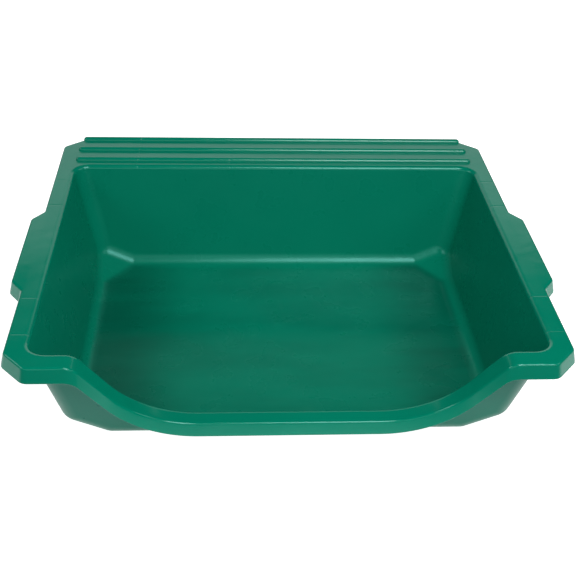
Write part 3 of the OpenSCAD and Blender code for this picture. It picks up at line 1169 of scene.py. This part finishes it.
def floor_streaks(tree, where):
    """Long cloudy streaks that run across the floor at a slant."""
    turned = tree.nodes.new("ShaderNodeMapping")
    turned.inputs["Rotation"].default_value = (0, 0, STREAK_TURN)
    turned.inputs["Scale"].default_value = STREAK_STRETCH
    tree.links.new(where, turned.inputs["Vector"])
    cloud = noise(tree, turned.outputs["Vector"], *STREAKS)
    return ramp_between(tree, cloud, *STREAK_MIDDLE, STREAK_LOSS, 0)


def gate_mark(tree, where):
    """The small pale spot where the plastic entered the mould."""
    reach = tree.nodes.new("ShaderNodeVectorMath")
    reach.operation = "DISTANCE"
    reach.inputs[1].default_value = GATE_PLACE
    tree.links.new(where, reach.inputs[0])
    return ramp_between(tree, reach.outputs["Value"], *GATE_RADII, GATE_LOSS, 0)


def basin_painted_shade_and_marks(tree, where, up):
    """The basin's floor has painted shade along its sides, and has streaks and the gate mark."""
    place = axes_of(tree, where)
    aside = maths(tree, "ABSOLUTE", place["X"])
    # Painted shade: the floor's colour darkens towards the side walls.
    edge = ramp_between(tree, aside, *FLOOR_PAINTED_SHADE_SPAN, 0, 1 - FLOOR_SIDE_PAINTED_SHADE)
    marks = maths(tree, "SUBTRACT", floor_streaks(tree, where), gate_mark(tree, where))
    on_floor = ramp_between(tree, place["Z"], *FLOOR_HEIGHTS, 1, 0)
    on_floor = maths(tree, "MULTIPLY", on_floor, ramp_between(tree, up, *FLOOR_UP, 0, 1))
    painted_shade_and_marks = maths(tree, "MULTIPLY", maths(tree, "ADD", edge, marks), on_floor)
    return maths(tree, "SUBTRACT", 1, painted_shade_and_marks)


ledge_sinks = ("X", [middle_of(f"ledge_gusset_{k}", X_AXIS) * MM for k in GUSSET_NUMBERS])
side_sinks = ("Y", [middle_of(f"left_gusset_{k}", Y_AXIS) * MM for k in GUSSET_NUMBERS])

green_basin = make_green("green_basin", BASIN_GREEN_WITH_PAINTED_SHADE, BASIN_SHINE, BASIN_TINT, shade=basin_painted_shade_and_marks)
green = make_green("green_rim", RIM_GREEN, RIM_SHINE, EDGE_TINT)
green_ledge = make_green("green_ledge", RIM_GREEN, LEDGE_SHINE, DEEP_TINT, ledge_sinks)
green_rib = make_green("green_rib", RIM_GREEN, RIB_SHINE, RIB_TINT, ledge_sinks)
green_side = make_green("green_side_rim", RIM_GREEN, LEDGE_SHINE, DEEP_TINT, side_sinks)

floor_piece()
end_wall_piece(REAR, "rear_wall")
end_wall_piece(FRONT, "front_wall")
for side, word in SIDES:
    side_wall_piece(side, f"{word}_wall")
    corner_piece(side, REAR, f"rear_{word}_corner")
    corner_piece(side, FRONT, f"front_{word}_corner")
make_rims()
make_skirts()
make_scoop()
make_ribs()
make_gussets()


# ---- Studio ----


def pale_floor():
    """The table's material, clear from below. The camera sees its upper side as plain white."""
    material = bpy.data.materials.new("pale_floor")
    material.use_nodes = True
    tree = material.node_tree
    shader = tree.nodes["Principled BSDF"]
    shader.inputs["Roughness"].default_value = TABLE_ROUGHNESS
    shader.inputs["Emission Color"].default_value = (1, 1, 1, 1)
    depth = axes_of(tree, tree.nodes.new("ShaderNodeTexCoord").outputs["Object"])["Y"]
    glow = ramp_between(tree, depth, *TABLE_FADE, 0, TABLE_GLOW)
    seen = tree.nodes.new("ShaderNodeLightPath").outputs["Is Camera Ray"]
    tree.links.new(maths(tree, "MAXIMUM", glow, seen), shader.inputs["Emission Strength"])
    share = ramp_between(tree, depth, *TABLE_FADE, 0, 1)
    paint = two_tone(tree, share, (TABLE_DARK,) * 3, (TABLE_PALE,) * 3)
    tree.links.new(paint, shader.inputs["Base Color"])
    mix = tree.nodes.new("ShaderNodeMixShader")
    below = tree.nodes.new("ShaderNodeNewGeometry").outputs["Backfacing"]
    tree.links.new(below, mix.inputs["Fac"])
    tree.links.new(shader.outputs["BSDF"], mix.inputs[1])
    tree.links.new(tree.nodes.new("ShaderNodeBsdfTransparent").outputs["BSDF"], mix.inputs[2])
    tree.links.new(mix.outputs["Shader"], tree.nodes["Material Output"].inputs["Surface"])
    return material


def make_floor():
    """The table top that the tray stands on."""
    mesh = bpy.data.meshes.new("studio_floor")
    corners = ((-1, -1), (1, -1), (1, 1), (-1, 1))
    ring = [(x * TABLE_REACH, y * TABLE_REACH, TABLE_Z) for x, y in corners]
    mesh.from_pydata(ring, [], [(0, 1, 2, 3)])
    floor = bpy.data.objects.new("studio_floor", mesh)
    bpy.context.collection.objects.link(floor)
    mesh.materials.append(pale_floor())


def softbox(name, azimuth, elevation, distance, size, radiance):
    """A soft rectangular light aimed at the tray."""
    data = bpy.data.lights.new(name, "AREA")
    data.shape = "RECTANGLE"
    data.size, data.size_y = size
    data.energy = radiance * math.pi * size[0] * size[1]
    light = bpy.data.objects.new(name, data)
    bpy.context.collection.objects.link(light)
    az = math.radians(azimuth)
    el = math.radians(elevation)
    away = Vector((math.sin(az) * math.cos(el), -math.cos(az) * math.cos(el), math.sin(el)))
    light.location = Vector(LIGHT_AIM) + away * distance
    light.rotation_euler = away.to_track_quat("Z", "Y").to_euler()
    light.visible_camera = False


def make_studio():
    """A world that is white to the camera and nearly dark as a light, and the soft lights."""
    world = bpy.data.worlds.new("studio")
    bpy.context.scene.world = world
    world.use_nodes = True
    tree = world.node_tree
    backdrop = tree.nodes["Background"]
    backdrop.inputs["Color"].default_value = (1, 1, 1, 1)
    seen = tree.nodes.new("ShaderNodeLightPath").outputs["Is Camera Ray"]
    tree.links.new(maths(tree, "MAXIMUM", seen, WORLD_GLOW), backdrop.inputs["Strength"])
    for light in LIGHTS:
        softbox(*light)


def make_camera():
    """The photo's camera."""
    ahead = Vector((math.sin(CAMERA_YAW), math.cos(CAMERA_YAW), 0))
    right = Vector((math.cos(CAMERA_YAW), -math.sin(CAMERA_YAW), 0))
    forward = ahead * math.cos(CAMERA_PITCH) - UP * math.sin(CAMERA_PITCH)
    above = ahead * math.sin(CAMERA_PITCH) + UP * math.cos(CAMERA_PITCH)
    x_axis = right * math.cos(CAMERA_ROLL) + above * math.sin(CAMERA_ROLL)
    y_axis = above * math.cos(CAMERA_ROLL) - right * math.sin(CAMERA_ROLL)
    turn = Matrix((x_axis, y_axis, -forward)).transposed()
    data = bpy.data.cameras.new("camera")
    data.lens = CAMERA_LENS
    data.clip_start, data.clip_end = CAMERA_SIGHT
    camera = bpy.data.objects.new("camera", data)
    bpy.context.collection.objects.link(camera)
    camera.matrix_world = Matrix.Translation(Vector(CAMERA_PLACE) * MM) @ turn.to_4x4()
    bpy.context.scene.camera = camera


make_floor()
make_studio()
make_camera()
bpy.context.scene.view_settings.view_transform = "Standard"

bpy.context.view_layer.update()
